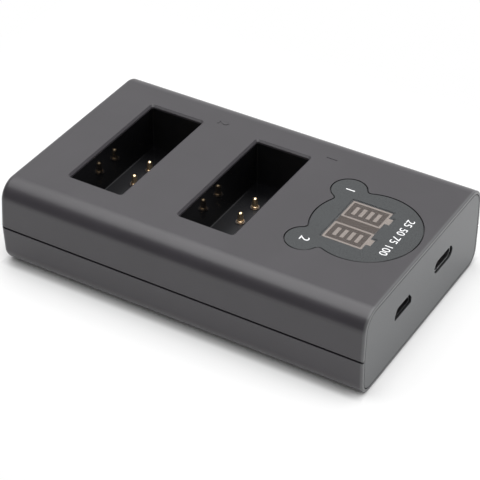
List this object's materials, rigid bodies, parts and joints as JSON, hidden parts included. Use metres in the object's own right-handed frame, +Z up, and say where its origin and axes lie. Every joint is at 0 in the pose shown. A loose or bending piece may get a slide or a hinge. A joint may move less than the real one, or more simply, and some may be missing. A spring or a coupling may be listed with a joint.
{
  "type": "camera battery charger",
  "caption": "Flat desk charger for camera batteries: dark two-shell case with open wells, sprung gold contacts, a lobed smoked display window and supply sockets in the end panel.",
  "frame": {"origin": "middle of the underside, on the surface that the charger stands on", "axes": "+X along the length towards the supply sockets, +Y across, +Z up"},
  "size_m": [0.0991, 0.0604, 0.023],
  "materials": {
    "case_shell": "fine spark-eroded texture, dark grey",
    "end_panel": "satin dark grey",
    "battery_well": "smooth black moulding",
    "smoked_window": "smoked satin window",
    "display_module": "dark brown-grey moulding",
    "light_guide": "milky clear plastic",
    "led": "phosphor-filled resin",
    "circuit_board": "green solder mask",
    "chip_body": "black moulding compound",
    "ferrite": "dark ferrite",
    "capacitor_can": "bright drawn can",
    "contact_gold": "bright gold plating",
    "spring_steel": "drawn wire",
    "socket_steel": "tin-plated sheet",
    "socket_insert": "black moulding",
    "screw_steel": "zinc-plated"
  },
  "bodies": {
    "case": {"top_cover": "case_shell", "bottom_cover": "case_shell", "end_panel": "end_panel", "usb_c_shell": "socket_steel", "usb_c_tongue": "socket_insert", "micro_usb_shell": "socket_steel", "micro_usb_tongue": "socket_insert", "display_window": "smoked_window", "display_housing": "display_module", "led_chips": "led", "display_board": "circuit_board", "display_driver": "chip_body", "contact_board": "circuit_board", "link_strip": "socket_insert", "link_pins": "contact_gold", "case_screws": "screw_steel", "board_screws": "screw_steel", "inductor_1": "ferrite", "capacitor_1": "capacitor_can", "battery_well_1": "battery_well", "charge_controller_1": "chip_body", "battery_symbol_1": "light_guide", "charge_bar_1_1": "light_guide", "charge_bar_1_2": "light_guide", "charge_bar_1_3": "light_guide", "charge_bar_1_4": "light_guide", "inductor_2": "ferrite", "capacitor_2": "capacitor_can", "battery_well_2": "battery_well", "charge_controller_2": "chip_body", "battery_symbol_2": "light_guide", "charge_bar_2_1": "light_guide", "charge_bar_2_2": "light_guide", "charge_bar_2_3": "light_guide", "charge_bar_2_4": "light_guide", "contact_barrel_1": "contact_gold", "contact_spring_1": "spring_steel", "contact_barrel_2": "contact_gold", "contact_spring_2": "spring_steel", "contact_barrel_3": "contact_gold", "contact_spring_3": "spring_steel", "contact_barrel_4": "contact_gold", "contact_spring_4": "spring_steel"},
    "contact_1": {"contact_plunger_1": "contact_gold"},
    "contact_2": {"contact_plunger_2": "contact_gold"},
    "contact_3": {"contact_plunger_3": "contact_gold"},
    "contact_4": {"contact_plunger_4": "contact_gold"}
  },
  "joints": [
    {"name": "contact_press_1", "type": "slide", "parent": "case", "child": "contact_1", "axis": [0, 0, -1], "range_m": [0, 0.0012], "stiffness_N_per_m": 300, "springref_m": -0.001, "deforming": ["contact_spring_1"]},
    {"name": "contact_press_2", "type": "slide", "parent": "case", "child": "contact_2", "axis": [0, 0, -1], "range_m": [0, 0.0012], "stiffness_N_per_m": 300, "springref_m": -0.001, "deforming": ["contact_spring_2"]},
    {"name": "contact_press_3", "type": "slide", "parent": "case", "child": "contact_3", "axis": [0, 0, -1], "range_m": [0, 0.0012], "stiffness_N_per_m": 300, "springref_m": -0.001, "deforming": ["contact_spring_3"]},
    {"name": "contact_press_4", "type": "slide", "parent": "case", "child": "contact_4", "axis": [0, 0, -1], "range_m": [0, 0.0012], "stiffness_N_per_m": 300, "springref_m": -0.001, "deforming": ["contact_spring_4"]}
  ]
}
